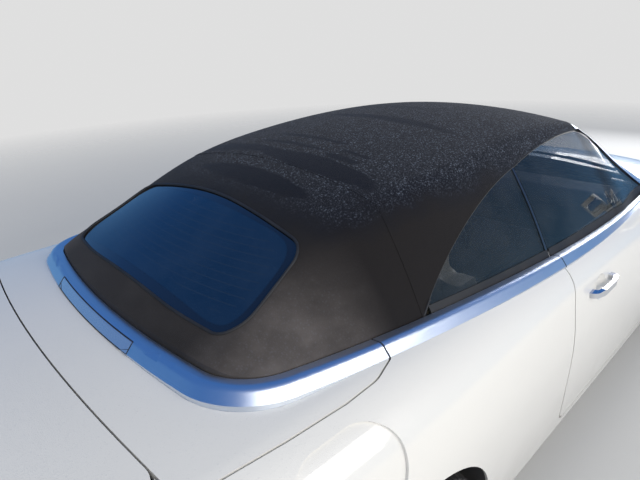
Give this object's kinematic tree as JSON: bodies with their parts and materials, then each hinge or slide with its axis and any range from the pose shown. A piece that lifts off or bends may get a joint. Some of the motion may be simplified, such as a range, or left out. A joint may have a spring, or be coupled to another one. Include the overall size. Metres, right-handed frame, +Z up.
{
  "type": "convertible car",
  "caption": "Four-seat convertible car with its fabric top closed, opening doors, bonnet, boot and top lid, steered front wheels.",
  "frame": {"origin": "on the ground under the middle of the car", "axes": "+X forward, +Y to the car's left, +Z up"},
  "size_m": [4.6245, 2.0124, 1.3828],
  "materials": {
    "paint": "gloss",
    "fabric_top": "woven",
    "glass_clear": "clear",
    "glass_rear": "clear",
    "satin_aluminium": "satin",
    "chrome_trim": "polished",
    "black_trim": "satin",
    "tyre": "matte",
    "rim": "painted silver",
    "leather_light": "grained",
    "leather_dark": "grained",
    "dark_interior": "grained",
    "lamp_clear": "clear",
    "lamp_red": "gloss",
    "underbody": "matte",
    "cast_iron": "cast",
    "steel_dark": "dull"
  },
  "bodies": {
    "body": {"floor_pan": "underbody", "boot_well": "underbody", "front_frame": "underbody", "front_wings": "paint", "body_sides": "paint", "fuel_flap": "paint", "front_bumper": "paint", "rear_bumper": "paint", "grille": "black_trim", "headlamps": "lamp_clear", "tail_lamps": "lamp_red", "windscreen_frame": "satin_aluminium", "windscreen": "glass_clear", "cowl": "black_trim", "soft_top": "fabric_top", "rear_window": "glass_rear", "quarter_glass": "glass_clear", "belt_trim": "satin_aluminium", "dashboard": "dark_interior", "console": "dark_interior", "front_seats": "leather_light", "rear_seat": "leather_light", "engine": "cast_iron", "exhaust": "steel_dark", "front_suspension": "steel_dark", "rear_suspension": "steel_dark"},
    "door_left": {"door_left": "paint", "door_glass_left": "glass_clear", "door_trim_left": "satin_aluminium", "mirror_left": "paint", "handle_left": "chrome_trim"},
    "knuckle_left": {"knuckle_left": "cast_iron"},
    "wheel_front_left": {"tyre_front_left": "tyre", "rim_front_left": "rim"},
    "wheel_rear_left": {"tyre_rear_left": "tyre", "rim_rear_left": "rim"},
    "door_right": {"door_right": "paint", "door_glass_right": "glass_clear", "door_trim_right": "satin_aluminium", "mirror_right": "paint", "handle_right": "chrome_trim"},
    "knuckle_right": {"knuckle_right": "cast_iron"},
    "wheel_front_right": {"tyre_front_right": "tyre", "rim_front_right": "rim"},
    "wheel_rear_right": {"tyre_rear_right": "tyre", "rim_rear_right": "rim"},
    "bonnet": {"bonnet": "paint"},
    "boot_lid": {"boot_lid": "paint", "lid_lamps": "lamp_red"},
    "tonneau_lid": {"tonneau_lid": "paint", "tonneau_trim": "satin_aluminium", "high_brake_lamp": "lamp_red"},
    "steering_wheel": {"steering_wheel": "leather_dark"}
  },
  "joints": [
    {"name": "door_left_hinge", "type": "hinge", "parent": "body", "child": "door_left", "pos_m": [0.83, 0.886, 0.6], "axis": [0, 0, -1], "range_deg": [0, 65]},
    {"name": "door_right_hinge", "type": "hinge", "parent": "body", "child": "door_right", "pos_m": [0.83, -0.886, 0.6], "axis": [0, 0, 1], "range_deg": [0, 65]},
    {"name": "bonnet_hinge", "type": "hinge", "parent": "body", "child": "bonnet", "pos_m": [0.96, 0, 0.872], "axis": [0, -1, 0], "range_deg": [0, 50]},
    {"name": "boot_lid_hinge", "type": "hinge", "parent": "body", "child": "boot_lid", "pos_m": [-1.594, 0, 0.928], "axis": [0, 1, 0], "range_deg": [0, 65]},
    {"name": "top_lid_hinge", "type": "hinge", "parent": "body", "child": "tonneau_lid", "pos_m": [-1.8, 0, 0.9735], "axis": [0, -1, 0], "range_deg": [0, 40]},
    {"name": "steer_left", "type": "hinge", "parent": "body", "child": "knuckle_left", "pos_m": [1.452, 0.77, 0.326], "axis": [0, 0, 1], "range_deg": [-33, 33]},
    {"name": "steer_right", "type": "hinge", "parent": "body", "child": "knuckle_right", "pos_m": [1.452, -0.77, 0.326], "axis": [0, 0, 1], "range_deg": [-33, 33]},
    {"name": "steering_wheel_turn", "type": "hinge", "parent": "body", "child": "steering_wheel", "pos_m": [0.51, 0.37, 0.842], "axis": [-0.9135, 0, 0.4067], "range_deg": [-480, 480]},
    {"name": "wheel_front_left_spin", "type": "hinge", "parent": "knuckle_left", "child": "wheel_front_left", "pos_m": [1.452, 0.795, 0.326], "axis": [0, 1, 0], "continuous": true},
    {"name": "wheel_rear_left_spin", "type": "hinge", "parent": "body", "child": "wheel_rear_left", "pos_m": [-1.299, 0.7885, 0.326], "axis": [0, 1, 0], "continuous": true},
    {"name": "wheel_front_right_spin", "type": "hinge", "parent": "knuckle_right", "child": "wheel_front_right", "pos_m": [1.452, -0.795, 0.326], "axis": [0, 1, 0], "continuous": true},
    {"name": "wheel_rear_right_spin", "type": "hinge", "parent": "body", "child": "wheel_rear_right", "pos_m": [-1.299, -0.7885, 0.326], "axis": [0, 1, 0], "continuous": true}
  ],
  "couplings": [
    {"joint": "steer_right", "follows": "steer_left", "ratio": 1},
    {"joint": "steering_wheel_turn", "follows": "steer_left", "ratio": 14}
  ]
}
